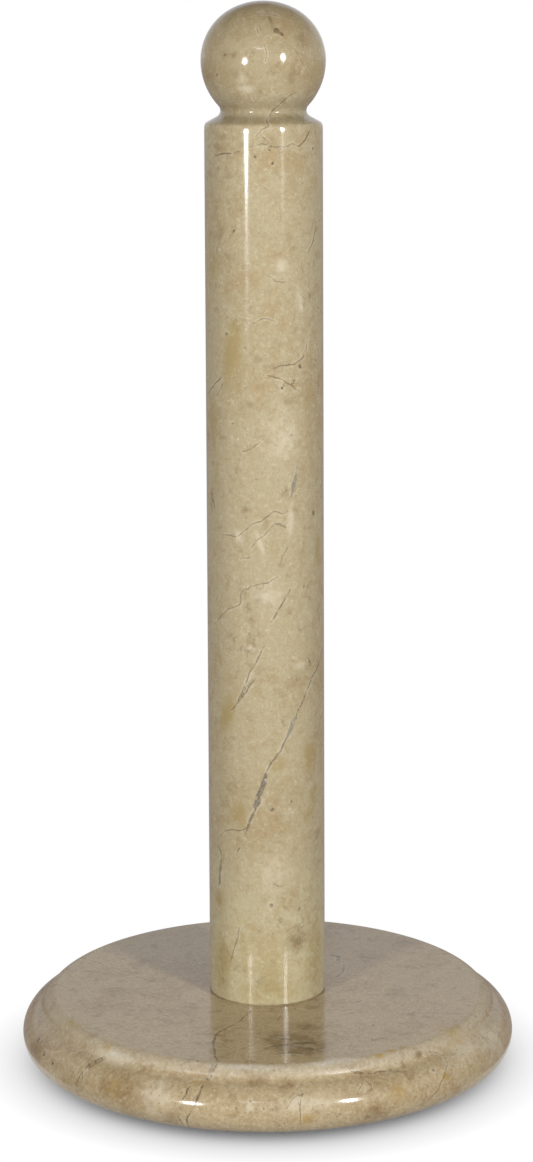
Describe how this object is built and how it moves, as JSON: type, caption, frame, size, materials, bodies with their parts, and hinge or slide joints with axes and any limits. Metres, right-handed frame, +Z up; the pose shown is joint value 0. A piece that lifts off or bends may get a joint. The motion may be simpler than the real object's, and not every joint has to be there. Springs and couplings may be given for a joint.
{
  "type": "paper towel holder",
  "caption": "Countertop holder for a roll of paper towels: an upright turned stone column ending in a ball, standing on a round stone base with a moulded edge.",
  "frame": {"origin": "on the column's axis, at the level the pads rest on", "axes": "+Z up along the column's axis; the pads stand on the diagonals between +X and +Y"},
  "size_m": [0.1524, 0.1524, 0.326],
  "materials": {
    "base_stone": "polished champagne marble with brown and grey veins",
    "column_stone": "polished champagne marble with brown and grey veins",
    "joint_resin": "cured stone adhesive, matt",
    "steel": "zinc-plated steel",
    "pad_rubber": "matt rubber"
  },
  "bodies": {
    "root": {"base": "base_stone", "column": "column_stone", "bedding_ring": "joint_resin", "resin_sleeve": "joint_resin", "stud": "steel", "washer": "steel", "spring_washer": "steel", "hex_nut": "steel", "pad_1": "pad_rubber", "pad_2": "pad_rubber", "pad_3": "pad_rubber", "pad_4": "pad_rubber"}
  },
  "joints": []
}
